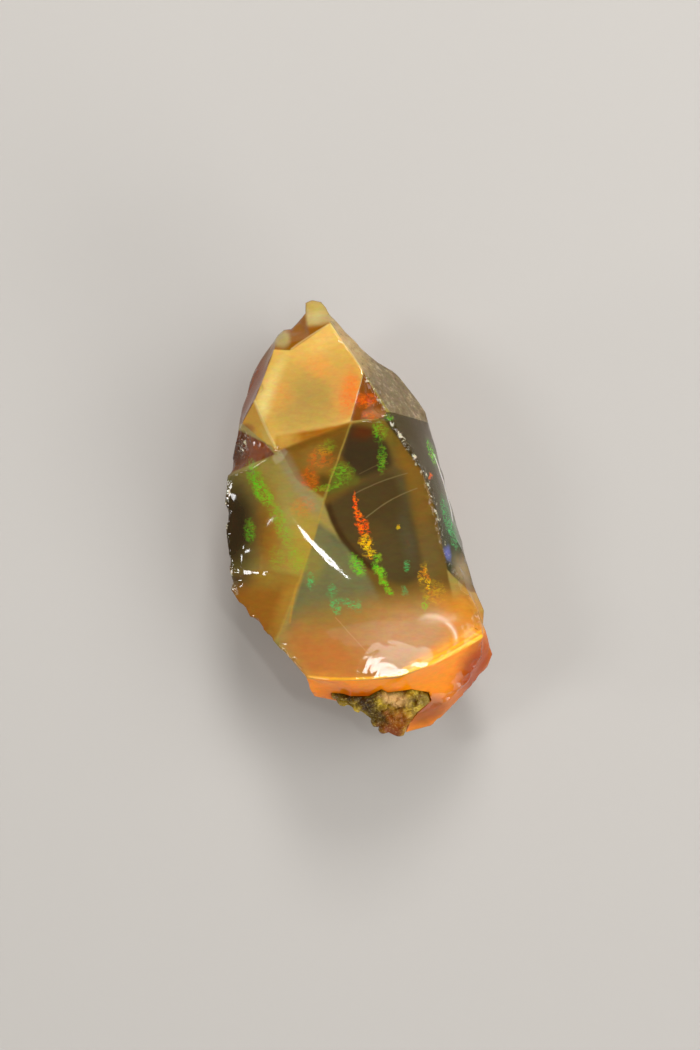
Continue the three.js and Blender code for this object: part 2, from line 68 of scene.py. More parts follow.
def fine_copy(node, name, levels, soft_angle, sharp_angle):
    """A subdivided copy of a CAD node, round within its faces and crisp along its ridges."""
    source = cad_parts[node]
    work = bmesh.new()
    work.from_mesh(source.data)
    bmesh.ops.remove_doubles(work, verts=work.verts, dist=WELD_DISTANCE)
    crease = work.edges.layers.float.get("crease_edge") or work.edges.layers.float.new("crease_edge")
    for edge in work.edges:
        bend = math.degrees(edge.calc_face_angle(0.0))
        edge[crease] = min(1.0, max(0.0, (bend - soft_angle) / (sharp_angle - soft_angle)))
    mesh = bpy.data.meshes.new(name)
    work.to_mesh(mesh)
    work.free()
    piece = bpy.data.objects.new(name, mesh)
    bpy.context.collection.objects.link(piece)
    subdivide = piece.modifiers.new("subdivide", "SUBSURF")
    subdivide.levels = levels
    subdivide.render_levels = levels
    evaluated = piece.evaluated_get(bpy.context.evaluated_depsgraph_get())
    fine = bpy.data.meshes.new_from_object(evaluated)
    piece.modifiers.clear()
    piece.data = fine
    fine.name = name
    fine.polygons.foreach_set("use_smooth", [True] * len(fine.polygons))
    return piece


def refine(piece, chosen):
    """Splits the edges whose middles are among the chosen places, for finer relief there."""
    work = bmesh.new()
    work.from_mesh(piece.data)
    work.normal_update()
    edges = list(work.edges)
    middles = np.array([edge.verts[0].co + edge.verts[1].co for edge in edges]) / 2
    ways = np.array([edge.verts[0].normal + edge.verts[1].normal for edge in edges]) / 2
    picked = chosen((middles - np.array(ORIGIN)) / UNIT, ways)
    near = [edge for edge, pick in zip(edges, picked) if pick]
    bmesh.ops.subdivide_edges(work, edges=near, cuts=1, use_grid_fill=True)
    work.to_mesh(piece.data)
    work.free()


def vertex_array(mesh, what):
    values = np.empty(len(mesh.vertices) * 3)
    mesh.vertices.foreach_get(what, values)
    return values.reshape(-1, 3)


def edge_pairs(mesh):
    pairs = np.empty(len(mesh.edges) * 2, dtype=np.int64)
    mesh.edges.foreach_get("vertices", pairs)
    return pairs.reshape(-1, 2)


def displace(piece, node, moves):
    """Moves each vertex by moves(places, normals, pairs), all in drawn millimetres.

    Nothing leaves the box of the CAD node that the piece was made from."""
    mesh = piece.data
    places = vertex_array(mesh, "co")
    drawn = (places - np.array(ORIGIN)) / UNIT
    moved = places + moves(drawn, vertex_array(mesh, "normal"), edge_pairs(mesh)) * UNIT
    low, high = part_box(node)
    mesh.vertices.foreach_set("co", np.clip(moved, np.array(low), np.array(high)).ravel())
    mesh.update()


def smooth_step(value, low, high):
    """0 below low, 1 above high, smooth between."""
    t = np.clip((value - low) / (high - low), 0.0, 1.0)
    return t * t * (3 - 2 * t)


def waves(places, scale_mm, seed, count):
    """A gentle random field made of a few plane waves, about -1 to 1."""
    rng = np.random.default_rng(seed)
    field = np.zeros(len(places))
    for _ in range(count):
        direction = rng.normal(size=3)
        direction /= np.linalg.norm(direction)
        length = scale_mm * rng.uniform(0.7, 1.5)
        field += np.sin(places @ direction * 2 * math.pi / length + rng.uniform(0, 2 * math.pi))
    return field / math.sqrt(count)


def summed(places, fields):
    """The sum of several fields of waves, each given by its size, height, seed and count."""
    total = np.zeros(len(places))
    for scale_mm, height, seed, count in fields:
        total += height * waves(places, scale_mm, seed, count)
    return total


# the blow that split the great bowl of the front, and the ripples that run out from it,
# each with its distance from the blow, its width and its height
BLOW = (3.1, -17.3)
RIPPLES = [
    (1.1, 0.25, 0.01),
    (1.9, 0.28, 0.011),
    (2.7, 0.3, 0.011),
    (3.6, 0.35, 0.01),
    (4.8, 0.5, 0.01),
    (7.9, 0.8, 0.012),
]
BOWL_TOP = (5.5, 7.5)  # how far below y = 0 the ripples set in and are full
BLOW_DETAIL = 4.6  # the ripples within this distance of the blow are the fine ones

# long shallow steps that catch the light as thin arcs, each with its two ends, its bow, its
# half width, and how much it tips the surface across itself at its start, middle and end
STEPS = [
    ((-7.8, 0.8), (-0.8, -6.9), 0.55, 0.95, (-0.342, -0.198, -0.148)),
    ((-14.2, -5.9), (-10.0, -6.1), 0.0, 0.3, (-0.25, -0.19, -0.17)),
    ((-12.8, -3.5), (-10.8, -3.6), 0.1, 0.6, (-0.13, -0.125, -0.12)),
]
STEP_FADE = 5.5  # the tilt dies away beside a step over so many half widths
STEP_ENDS = (0.9, 1.25)  # and along it between these, in half lengths from its middle
STEP_DETAIL = 2.5  # the mesh is finer within so many half widths

# the outline of the glassy front: the dishes between the crown, the side ridges and the keel
GLASSY_FRONT = [
    (-9.0, 7.5), (-14.0, 3.6), (-14.6, -3.0), (-13.4, -8.4), (-9.4, -13.3), (-5.7, -17.5),
    (1.8, -17.5), (5.3, -17.0), (8.9, -15.6), (13.6, -13.0), (12.2, -9.3), (9.6, -4.6),
    (8.5, 1.2), (6.9, 5.2), (4.6, 8.3), (2.6, 10.9), (-0.9, 10.4),
]
POLISH_STRENGTH = 0.5
POLISH_ROUNDS = 240
POLISH_MARGIN = (0.5, 1.6)  # from its edge, where the polish sets in and where it is full
SECOND_POLISH_ROUNDS = 20

# how far a normal has to point up for each kind of work
FACING_FRONT = 0.5  # to be polished and stepped
FACING_DETAIL = 0.2  # to be refined
FACING_CHIPS = 0.1  # to be crushed
FACING_RIPPLES = (0.3, 0.6)  # where the ripples set in and where they are full

# the frosted skin lies beyond the line 0.83 x + 0.55 y = 9.2 and above y = 12.4 - 0.28 x
SKIN_RIDGE = (0.83, 0.55, 9.2)
SKIN_BREAK = (12.4, -0.28)

# fields of gentle waves, each with its size, its height, its seed and its count of waves
STONE_WAVES = [(6.0, 0.012, 3, 7), (2.2, 0.004, 4, 7)]
SKIN_WAVES = [(0.9, 0.018, 5, 14), (0.5, 0.018, 6, 14)]
CRUSHED_WAVES = [(0.6, 1.0, 11, 20), (0.3, 0.6, 12, 20)]
CRUSHED_STRETCHES = (3.0, 13, 7)  # the size, seed and count of the waves that break the edges up
ROCK_WAVES = [(1.6, 0.03, 7, 12), (0.6, 0.01, 8, 16), (0.35, 0.006, 9, 16)]

# rough crushed edges, each a line with the reach of the damage and its height
CHIPS = [
    ([(0.9, 15.2), (3.0, 11.3), (5.3, 7.7), (7.0, 5.1), (8.3, 1.2), (9.6, -4.6)], 0.35, 0.045),
    ([(9.6, -4.6), (12.2, -9.3), (13.6, -12.6)], 0.35, 0.03),
    ([(-13.6, 9.0), (-12.9, 8.2), (-12.6, 7.0)], 0.7, 0.1),
    ([(-13.5, 4.9), (-12.2, 5.5), (-10.7, 6.2), (-8.8, 7.2)], 0.3, 0.03),
    ([(11.6, -12.2), (12.4, -13.0)], 0.5, 0.02),
    ([(-13.9, 4.7), (-14.6, 3.0), (-14.6, -3.0), (-13.4, -8.4), (-9.4, -13.4)], 0.3, 0.022),
]


def away_from(points, line):
    """The distance of each point from a line through corners."""
    nearest = np.full(len(points), np.inf)
    for start, end in zip(np.array(line), np.array(line[1:])):
        way = end - start
        t = np.clip((points - start) @ way / (way @ way), 0.0, 1.0)
        nearest = np.minimum(nearest, np.linalg.norm(points - start - t[:, None] * way, axis=1))
    return nearest


def depth_inside(points, outline):
    """How far each point lies inside an outline, and 0 outside it."""
    closed = outline + outline[:1]
    inside = np.zeros(len(points), dtype=bool)
    x, y = points[:, 0], points[:, 1]
    for start, end in zip(closed, closed[1:]):
        if start[1] != end[1]:
            crossing = start[0] + (y - start[1]) / (end[1] - start[1]) * (end[0] - start[0])
            inside ^= ((y > start[1]) != (y > end[1])) & (x < crossing)
    return np.where(inside, away_from(points, closed), 0.0)


def polish_front(places, normals, pairs, rounds=POLISH_ROUNDS):
    """Melts the creases within the glassy front into smooth dishes."""
    depth = depth_inside(places[:, :2], GLASSY_FRONT)
    weight = POLISH_STRENGTH * smooth_step(depth, *POLISH_MARGIN) * (normals[:, 2] > FACING_FRONT)
    ends = np.concatenate([pairs[:, 0], pairs[:, 1]])
    others = np.concatenate([pairs[:, 1], pairs[:, 0]])
    neighbours = np.bincount(ends, minlength=len(places))
    settled = places.copy()
    for _ in range(rounds):
        for axis in range(3):
            mean = np.bincount(ends, settled[others, axis], minlength=len(places)) / neighbours
            settled[:, axis] += weight * (mean - settled[:, axis])
    return settled - places


def polish_again(places, normals, pairs):
    return polish_front(places, normals, pairs, SECOND_POLISH_ROUNDS)


def needs_detail(places, normals):
    """Where the glassy front's highlights fall and its edges are crushed."""
    flat = places[:, :2]
    near = np.linalg.norm(flat - np.array(BLOW), axis=1) < BLOW_DETAIL
    for start, end, _bow, width, _tips in STEPS:
        near |= away_from(flat, [start, end]) < STEP_DETAIL * width
    for line, reach, _tall in CHIPS:
        near |= away_from(flat, line) < reach
    return near & (normals[:, 2] > FACING_DETAIL)


def cut_steps(places, normals, _pairs):
    """Lets the surface up or down by shallow curved steps that run across the glassy front."""
    moves = np.zeros_like(places)
    for start, end, bow, width, (first, middle, last) in STEPS:
        start, end = np.array(start), np.array(end)
        length = np.linalg.norm(end - start)
        along_way = (end - start) / length
        across_way = np.array((-along_way[1], along_way[0]))
        offset = places[:, :2] - (start + end) / 2
        along = offset @ along_way / (length / 2)
        across = offset @ across_way + bow * (1 - along ** 2)
        tip = middle + (last - first) / 2 * along + ((last + first) / 2 - middle) * along ** 2
        tip *= 1 - smooth_step(np.abs(along), *STEP_ENDS)
        fade = np.exp(-((across / (STEP_FADE * width)) ** 2)) * (normals[:, 2] > FACING_FRONT)
        moves[:, 2] += tip * width * np.tanh(across / width) * fade
    return moves


def in_skin(places, normals):
    """1 on the frosted skin along the upper right, 0 elsewhere."""
    x, y = places[:, 0], places[:, 1]
    by_x, by_y, reach = SKIN_RIDGE
    level, slope = SKIN_BREAK
    right_of_ridge = smooth_step(x * by_x + y * by_y - reach, 0.0, 0.8)
    above_break = smooth_step(y - (level + slope * x), 0.0, 0.5)
    return right_of_ridge * above_break * smooth_step(normals[:, 2], -0.2, 0.1)


def opal_relief(places, normals, _pairs):
    """Gentle waves all over, ripples in the bowl, rough skin and crushed edges."""
    front = smooth_step(normals[:, 2], *FACING_RIPPLES)
    reach = np.linalg.norm(places[:, :2] - np.array(BLOW), axis=1)
    bowl = front * smooth_step(-places[:, 1], *BOWL_TOP)
    height = summed(places, STONE_WAVES)
    for radius, width, tall in RIPPLES:
        height += bowl * tall * np.exp(-(((reach - radius) / width) ** 2))
    height += in_skin(places, normals) * summed(places, SKIN_WAVES)
    stretches = smooth_step(waves(places, *CRUSHED_STRETCHES), -1.2, 0.6)
    crushed = summed(places, CRUSHED_WAVES) * stretches
    for line, width, tall in CHIPS:
        away = away_from(places[:, :2], line)
        height += tall * np.exp(-((away / width) ** 2)) * crushed * (normals[:, 2] > FACING_CHIPS)
    return normals * height[:, None]


def rock_relief(places, normals, _pairs):
    """Lumps and grit."""
    return normals * summed(places, ROCK_WAVES)[:, None]


# ---------------------------------------------------------------- node graphs
# an ellipse of several fades from its core to its rim, in squares of its radii
PATCH_CORE = 0.1
PATCH_RIM = 2.0


class Graph:
    """Short names for building a material's nodes."""

    def __init__(self, name):
        self.material = bpy.data.materials.new(name)
        self.material.use_nodes = True
        self.tree = self.material.node_tree
        self.tree.nodes.clear()
        place = self.tree.nodes.new("ShaderNodeTexCoord").outputs["Object"]
        shifted = self.vector("SUBTRACT", place, ORIGIN)
        self.place = self.scaled(shifted, 1 / UNIT)

    def node(self, kind, **settings):
        made = self.tree.nodes.new(kind)
        for key, value in settings.items():
            setattr(made, key, value)
        return made

    def feed(self, socket, value):
        """Links a socket to another, or sets its value."""
        if isinstance(value, bpy.types.NodeSocket):
            self.tree.links.new(value, socket)
        else:
            socket.default_value = value

    def math(self, operation, *values, clamp=False):
        made = self.node("ShaderNodeMath", operation=operation, use_clamp=clamp)
        for socket, value in zip(made.inputs, values):
            self.feed(socket, value)
        return made.outputs[0]

    def vector(self, operation, *values):
        made = self.node("ShaderNodeVectorMath", operation=operation)
        for socket, value in zip(made.inputs, values):
            self.feed(socket, value)
        return made.outputs["Value" if operation in ("LENGTH", "DOT_PRODUCT") else "Vector"]

    def scaled(self, value, factor):
        made = self.node("ShaderNodeVectorMath", operation="SCALE")
        self.feed(made.inputs[0], value)
        self.feed(made.inputs["Scale"], factor)
        return made.outputs[0]

    def step(self, value, low, high, top=1.0):
        """0 below low, top above high, smooth between; the other way round if low is above high."""
        made = self.node("ShaderNodeMapRange", interpolation_type="SMOOTHSTEP")
        self.feed(made.inputs["Value"], value)
        turned = low > high
        made.inputs["From Min"].default_value = min(low, high)
        made.inputs["From Max"].default_value = max(low, high)
        made.inputs["To Min"].default_value = top if turned else 0.0
        made.inputs["To Max"].default_value = 0.0 if turned else top
        return made.outputs["Result"]

    def mix(self, mask, under, over):
        """One colour laid over another as far as the mask says."""
        made = self.node("ShaderNodeMix", data_type="RGBA")
        self.feed(made.inputs[0], mask)
        self.feed(made.inputs[6], under if isinstance(under, bpy.types.NodeSocket) else (*under, 1.0))
        self.feed(made.inputs[7], over if isinstance(over, bpy.types.NodeSocket) else (*over, 1.0))
        return made.outputs[2]

    def noise(self, place, size_mm, detail, roughness):
        made = self.node("ShaderNodeTexNoise")
        self.feed(made.inputs["Vector"], place)
        made.inputs["Scale"].default_value = 1 / size_mm
        made.inputs["Detail"].default_value = detail
        made.inputs["Roughness"].default_value = roughness
        return made

    def stray(self, place, size_mm, detail, roughness=0.5):
        """A noise of a size as a vector about zero, to stray places or colours with."""
        colour = self.noise(place, size_mm, detail, roughness).outputs["Color"]
        return self.vector("SUBTRACT", colour, (0.5, 0.5, 0.5))

    def strayed(self, stray, reach_mm):
        """The places on the stone, moved by a stray vector."""
        return self.vector("MULTIPLY_ADD", stray, (reach_mm, reach_mm, reach_mm), self.place)

    def between(self, mask, low, high):
        """Low where the mask is 0, high where it is 1."""
        return self.math("MULTIPLY_ADD", mask, high - low, low)

    def plan(self, place):
        """A place seen from above: without its height, its x, its y and x squared + y squared."""
        flat = self.vector("MULTIPLY", place, (1, 1, 0))
        axes = ((1, 0, 0), (0, 1, 0), flat)
        return flat, *(self.spread(flat, axis) for axis in axes)

    def spread(self, place, axis):
        """A vector of three numbers that are all the dot product of a place and an axis."""
        made = self.node("ShaderNodeCombineXYZ")
        reach = self.vector("DOT_PRODUCT", place, axis)
        for socket in made.inputs:
            self.feed(socket, reach)
        return made.outputs[0]

    def blob(self, plan, centre, radii, turn, soft, strength=1.0):
        """The strength inside an ellipse seen from above, fading to 0 outside it."""
        flat, x, y, _square = plan
        turned = Matrix.Rotation(math.radians(-turn), 2)
        scale = Vector((1 / radii[0], 1 / radii[1], 0.0))
        shift = turned @ Vector(centre)
        shift = (-shift.x * scale.x, -shift.y * scale.y, 0.0)
        if turn:
            by_x, by_y = ([turned[0][i] * scale.x, turned[1][i] * scale.y, 0.0] for i in (0, 1))
            inner = self.vector("MULTIPLY_ADD", y, by_y, shift)
            inner = self.vector("MULTIPLY_ADD", x, by_x, inner)
        else:
            inner = self.vector("MULTIPLY_ADD", flat, scale, shift)
        return self.step(self.vector("LENGTH", inner), 1 + soft, 1 - soft, strength)

    def blobs(self, plan, patches):
        """The strength within ellipses seen from above, worked out three at a time.

        It is about that of the strongest where they overlap."""
        _flat, x, y, _square = plan
        patches = patches + patches[:-len(patches) % 3]
        strongest = None
        for i in range(0, len(patches), 3):
            rows = ([], [])
            for centre, radii, turn, _strength in patches[i:i + 3]:
                turned = Matrix.Rotation(math.radians(-turn), 2)
                shift = turned @ Vector(centre)
                for axis, row in enumerate(rows):
                    row.append((turned[axis][0] / radii[axis], turned[axis][1] / radii[axis],
                                -shift[axis] / radii[axis]))
            squares = []
            for row in rows:
                by_x, by_y, offset = zip(*row)
                reach = self.vector("MULTIPLY_ADD", x, by_x, self.vector("MULTIPLY_ADD", y, by_y, offset))
                squares.append(self.vector("MULTIPLY", reach, reach))
            tops = [patch[3] for patch in patches[i:i + 3]]
            masks = self.steps(self.vector("ADD", *squares), [PATCH_CORE] * 3, [PATCH_RIM] * 3, tops)
            strongest = masks if strongest is None else self.vector("MAXIMUM", strongest, masks)
        return self.vector("LENGTH", strongest)

    def beyond(self, plan, outline, inset):
        """About how far a place is beyond a convex outline drawn in by an inset, seen from above.

        The outline is counter-clockwise. The ways beyond its sides are worked out three at a time."""
        _flat, x, y, _square = plan
        sides = []
        for start, end in zip(outline, outline[1:] + outline[:1]):
            dx, dy = end[0] - start[0], end[1] - start[1]
            length = math.hypot(dx, dy)
            sides.append((dy / length, -dx / length, (dx * start[1] - dy * start[0]) / length + inset))
        sides += sides[:-len(sides) % 3]
        farthest = (0, 0, 0)
        for i in range(0, len(sides), 3):
            by_x, by_y, offset = zip(*sides[i:i + 3])
            ways = self.vector("MULTIPLY_ADD", x, by_x, self.vector("MULTIPLY_ADD", y, by_y, offset))
            farthest = self.vector("MAXIMUM", ways, farthest)
        return self.vector("LENGTH", farthest)

    def convex(self, plan, outline, soft):
        """1 inside a convex outline, fading to 0 over its soft edge."""
        return self.step(self.beyond(plan, outline, soft), 2 * soft, 0.0)

    def steps(self, values, lows, highs, tops):
        """For each of three values: its top below its low, 0 above its high, smooth between."""
        made = self.node("ShaderNodeMapRange", data_type="FLOAT_VECTOR", interpolation_type="SMOOTHSTEP")
        self.feed(made.inputs["Vector"], values)
        for socket, numbers in zip(made.inputs[7:11], (lows, highs, tops, (0, 0, 0))):
            socket.default_value = numbers
        return made.outputs["Vector"]

    def arcs(self, plan, curves):
        """The strengths along up to three circles, each through three points, as far as its ends."""
        _flat, x, y, square = plan
        off_rows, along_rows = [], []
        near, far, reach_in, reach_out, tops = [], [], [], [], []
        for points, wide, soft, strength in curves + curves[:1] * (3 - len(curves)):
            start, middle, end = (complex(*point) for point in points)
            way = (end - start) / (middle - start)
            centre = start + (middle - start) * (abs(way) ** 2 - way) / (way.conjugate() - way)
            radius = abs(start - centre)
            halfway = (start + end) / 2
            reach = abs(end - start) / 2
            off_rows.append((-centre.real / radius, -centre.imag / radius, 0.5 / radius,
                             (abs(centre) ** 2 - radius ** 2) / (2 * radius)))
            along_rows.append((-2 * halfway.real, -2 * halfway.imag, 1.0, abs(halfway) ** 2))
            near.append(wide)
            far.append(wide + soft)
            reach_in.append((reach - soft) ** 2)
            reach_out.append((reach + soft) ** 2)
            tops.append(strength)
        measures = []
        for rows in (off_rows, along_rows):
            by_x, by_y, by_square, offset = zip(*rows)
            measure = self.vector("MULTIPLY_ADD", x, by_x, offset)
            measure = self.vector("MULTIPLY_ADD", y, by_y, measure)
            measures.append(self.vector("MULTIPLY_ADD", square, by_square, measure))
        beside = self.steps(self.vector("ABSOLUTE", measures[0]), near, far, tops)
        return self.vector("MULTIPLY", beside, self.steps(measures[1], reach_in, reach_out, (1, 1, 1)))


def srgb(red, green, blue):
    """A colour given in screen values, as the linear values that shaders use."""
    def linear(value):
        value /= 255
        return value / 12.92 if value <= 0.04045 else ((value + 0.055) / 1.055) ** 2.4
    return tuple(linear(value) for value in (red, green, blue))


# ---------------------------------------------------------------- the opal's colours
# Colours are screen values. A glow is an ellipse: its centre, radii, turn, softness, colour
# and strength.
BODY = (156, 138, 68)
BODY_GLOWS = [
    ((-10.3, 4.6), (2.4, 1.8), 0, 0.6, (162, 140, 62), 0.8),
    ((-11.0, 3.6), (0.9, 2.4), 25, 0.8, (144, 140, 38), 0.7),
    ((-6.3, -3.4), (1.7, 4.0), -12, 0.7, (170, 140, 46), 0.8),
    ((-10.0, -1.6), (1.6, 4.4), 6, 0.8, (158, 106, 24), 0.9),
    # painted darkness along the thin left edge, standing in for a dark ground seen through it
    ((-14.4, -1.0), (3.6, 6.0), 0, 0.6, (50, 36, 12), 1.0),
]

# the outline of the frosted skin seen from above
SKIN = [(0.42, 16.0), (3.3, 11.6), (8.6, 10.3), (12.0, 12.0), (4.0, 24.0), (-3.1, 21.6)]

# Each region is laid over those before it: its convex outline seen from above, how soft its
# edge is in millimetres, its colour, and the glows within it.
REGIONS = [
    # the steep facets right of the ridge
    ([(2.0, 11.5), (5.0, -6.0), (12.0, -8.0), (16.0, -12.0), (16.0, 12.0)], 0.1, (66, 54, 20), [
        ((7.0, 9.5), (2.0, 2.5), 0, 0.6, (66, 50, 20), 0.8),
        ((10.2, -3.0), (1.2, 4.0), 8, 0.6, (62, 68, 50), 0.7),
        ((9.7, -3.9), (0.4, 0.7), 0, 0.6, (100, 105, 165), 0.8),
        ((11.5, -5.8), (0.9, 1.6), 15, 0.8, (158, 130, 84), 0.8)]),
    # the right side of the valley
    ([(-0.9, 10.3), (-2.2, 6.7), (-4.0, 2.0), (2.0, -12.0), (11.2, -12.0), (9.5, -4.6), (8.4, 1.2),
      (6.8, 5.2), (4.6, 8.3), (2.6, 10.9)],
     0.2, (108, 80, 26), [
        ((4.6, 6.6), (1.0, 3.6), 33, 0.8, (140, 100, 26), 0.8),
        ((3.2, 9.0), (1.5, 2.0), 0, 0.6, (112, 92, 26), 0.9),
        ((2.0, 4.6), (2.0, 0.9), 0, 0.8, (82, 66, 32), 0.8),
        ((4.8, 1.4), (0.8, 4.6), 12, 0.9, (82, 76, 44), 0.9),
        ((6.8, 1.6), (0.9, 3.6), 12, 0.9, (134, 98, 34), 0.8),
        ((7.6, -4.0), (1.6, 2.8), 0, 0.9, (110, 92, 46), 0.8)]),
    # the grey-green slope below the crescent
    ([(-3.9, 2.2), (-5.4, -3.0), (-8.3, -12.5), (4.0, -12.5), (4.0, -7.0), (-0.4, -3.6), (-3.0, 1.6)],
     0.45, (112, 108, 66), [
        ((-2.8, -0.8), (0.7, 2.4), 20, 0.6, (92, 92, 60), 0.9),
        ((-5.2, -5.0), (1.2, 1.8), 0, 0.7, (142, 126, 56), 0.8)]),
    # the great bowl
    ([(-7.0, -8.2), (-9.3, -13.6), (-6.0, -18.5), (14.0, -18.5), (15.0, -12.0), (12.5, -6.6), (6.0, -7.8)],
     2.2, (168, 122, 58), [
        ((-4.5, -16.0), (6.0, 3.2), 0, 0.6, (190, 116, 50), 0.9),
        ((-4.0, -9.2), (3.2, 2.6), 0, 0.7, (150, 118, 50), 0.8),
        ((11.2, -11.4), (2.4, 3.8), 0, 0.9, (222, 138, 30), 0.8),
        ((5.2, -13.0), (4.6, 2.6), 10, 0.7, (200, 148, 98), 0.8),
        ((10.5, -14.4), (5.0, 1.3), 25, 0.5, (246, 156, 50), 0.9),
        ((-4.0, -17.5), (4.5, 0.7), 0, 0.6, (214, 132, 48), 0.7)]),
    # the amber foot of the left flank
    ([(-15.2, -6.6), (-13.4, -9.5), (-9.6, -13.9), (-9.0, -13.1), (-6.3, -6.3), (-10.5, -5.6)],
     0.4, (148, 94, 22), [
        ((-8.5, -6.0), (4.0, 1.5), 10, 0.8, (150, 122, 44), 0.8),
        ((-13.5, -6.2), (1.8, 1.5), 0, 0.7, (84, 66, 34), 0.9),
        ((-8.0, -9.6), (0.9, 3.6), -22, 0.6, (170, 126, 42), 0.8)]),
    # the green wedge right of the diagonal
    ([(-2.4, 6.3), (-3.9, 2.2), (-0.1, 3.6), (0.1, 4.6)], 0.3, (97, 90, 26), []),
    # the dark window, upper and lower part
    ([(-1.0, 10.2), (-2.0, 6.7), (0.0, 4.3), (3.7, 5.7), (3.3, 7.9), (1.6, 9.8)], 0.5, (62, 47, 22), [
        ((0.3, 9.4), (1.2, 0.9), 0, 0.6, (88, 42, 6), 0.9)]),
    ([(-3.6, 1.4), (-2.2, -1.6), (-0.2, -4.0), (2.2, -6.4), (4.1, -7.3), (5.6, -7.3), (7.0, -6.2),
      (6.6, -2.6), (3.8, 4.8), (-0.1, 3.8)],
     0.6, (78, 61, 27), [
        ((1.8, -2.2), (1.6, 1.4), 0, 0.9, (98, 70, 24), 0.7),
        ((3.5, -3.8), (2.2, 2.8), 0, 0.8, (84, 70, 34), 0.9),
        ((5.4, -2.2), (0.8, 3.0), 10, 0.8, (86, 78, 48), 0.8)]),
    # the brown flash under the crown, left of the diagonal
    ([(-8.7, 7.5), (-6.8, 4.1), (-3.9, 2.2), (-2.2, 6.7), (-0.9, 10.5)], 0.2, (132, 94, 24), [
        ((-4.4, 6.4), (1.9, 1.3), 20, 0.8, (144, 108, 42), 0.7),
        ((-5.8, 3.9), (1.3, 1.3), 0, 0.8, (144, 80, 8), 0.8),
        ((-2.4, 7.8), (0.9, 1.8), -20, 0.8, (104, 76, 20), 0.8),
        ((-3.7, 3.9), (0.8, 0.9), 0, 0.8, (80, 62, 14), 0.9),
        ((-4.8, 8.7), (5.0, 0.6), 20, 0.6, (120, 80, 14), 0.9)]),
    # between the steps at the left
    ([(-14.4, 4.9), (-9.2, 6.9), (-8.9, 7.5), (-10.3, 8.2), (-12.6, 10.7), (-14.4, 9.5)],
     0.12, (116, 56, 0), [
        ((-13.6, 7.4), (1.2, 1.8), 0, 0.7, (60, 30, 4), 0.8),
        ((-11.0, 7.5), (1.3, 0.8), 15, 0.6, (140, 64, 0), 0.8)]),
    # the small yellow facet below the crown's left corner
    ([(-12.9, 10.4), (-10.3, 8.2), (-9.0, 7.4), (-11.4, 13.0)], 0.12, (198, 148, 30), [
        ((-12.5, 9.6), (1.0, 0.7), 0, 0.6, (140, 76, 6), 0.8),
        ((-10.1, 8.7), (0.5, 1.2), 20, 0.6, (200, 168, 72), 0.8)]),
    # the crown, its silky left strip and its lower bevel
    ([(-3.2, 21.5), (-9.4, 18.5), (-11.5, 12.8), (-9.0, 7.5), (-0.95, 10.5), (0.45, 16.0)],
     0.08, (222, 176, 80), [
        ((-5.4, 13.0), (5.2, 3.8), 20, 0.95, (176, 144, 70), 0.95),
        ((-9.0, 14.0), (1.3, 1.6), 20, 0.95, (222, 158, 78), 0.4),
        ((-4.4, 16.6), (2.0, 1.2), -30, 0.95, (240, 164, 76), 0.5),
        ((-1.5, 13.8), (1.2, 2.4), -12, 0.9, (224, 148, 72), 0.7),
        ((-0.8, 14.0), (0.8, 2.0), -10, 0.95, (230, 126, 44), 0.6),
        ((-10.4, 12.6), (0.7, 4.6), -22, 0.9, (226, 208, 124), 0.8),
        ((-4.0, 19.6), (2.6, 1.2), 30, 0.9, (234, 190, 100), 0.7)]),
    ([(-9.1, 9.1), (-9.3, 7.2), (-0.6, 10.4)], 0.25, (164, 102, 16), [
        ((-8.2, 8.5), (1.4, 0.9), 0, 0.8, (200, 158, 66), 0.8)]),
    # the steep slope left of the crown
    ([(-16.0, 9.6), (-12.9, 10.4), (-11.4, 12.9), (-9.4, 18.4), (-9.0, 21.0), (-14.0, 21.0)],
     0.12, (122, 56, 0), [
        ((-9.8, 18.8), (0.9, 1.8), -20, 0.6, (120, 76, 6), 0.8),
        ((-13.1, 11.2), (0.9, 1.4), -20, 0.6, (112, 56, 14), 0.8)]),
    # the saddle behind the crown, its nub and the tip
    ([(-9.6, 18.5), (-7.5, 18.4), (-3.2, 21.4), (-5.8, 24.0), (-9.9, 21.0)], 0.12, (142, 86, 4), [
        ((-8.6, 19.8), (1.1, 1.0), 0, 0.4, (170, 150, 90), 1.0)]),
    ([(-6.2, 24.6), (-5.8, 21.1), (-3.2, 21.4), (-2.0, 22.0), (-4.0, 24.8)], 0.4, (180, 150, 84), [
        ((-5.0, 22.2), (1.2, 0.8), 0, 0.9, (196, 178, 112), 0.8),
        ((-4.8, 23.5), (0.9, 0.5), 0, 0.9, (182, 160, 72), 0.7)]),
    # the frosted skin at the upper right
    (SKIN, 0.12, (108, 92, 64), [
        ((-1.2, 19.4), (1.2, 3.4), 32, 0.8, (172, 142, 90), 0.9),
        ((6.8, 14.0), (0.5, 3.0), 40, 0.8, (146, 104, 58), 0.7)]),
    # the red corner right of the crown
    ([(0.5, 15.9), (-1.0, 10.5), (2.7, 10.9), (3.0, 11.5)], 0.1, (124, 70, 12), [
        ((0.5, 12.9), (1.1, 0.6), 15, 0.95, (200, 72, 8), 0.4),
        ((1.7, 11.4), (1.0, 0.5), 0, 0.6, (164, 104, 56), 0.8)]),
]

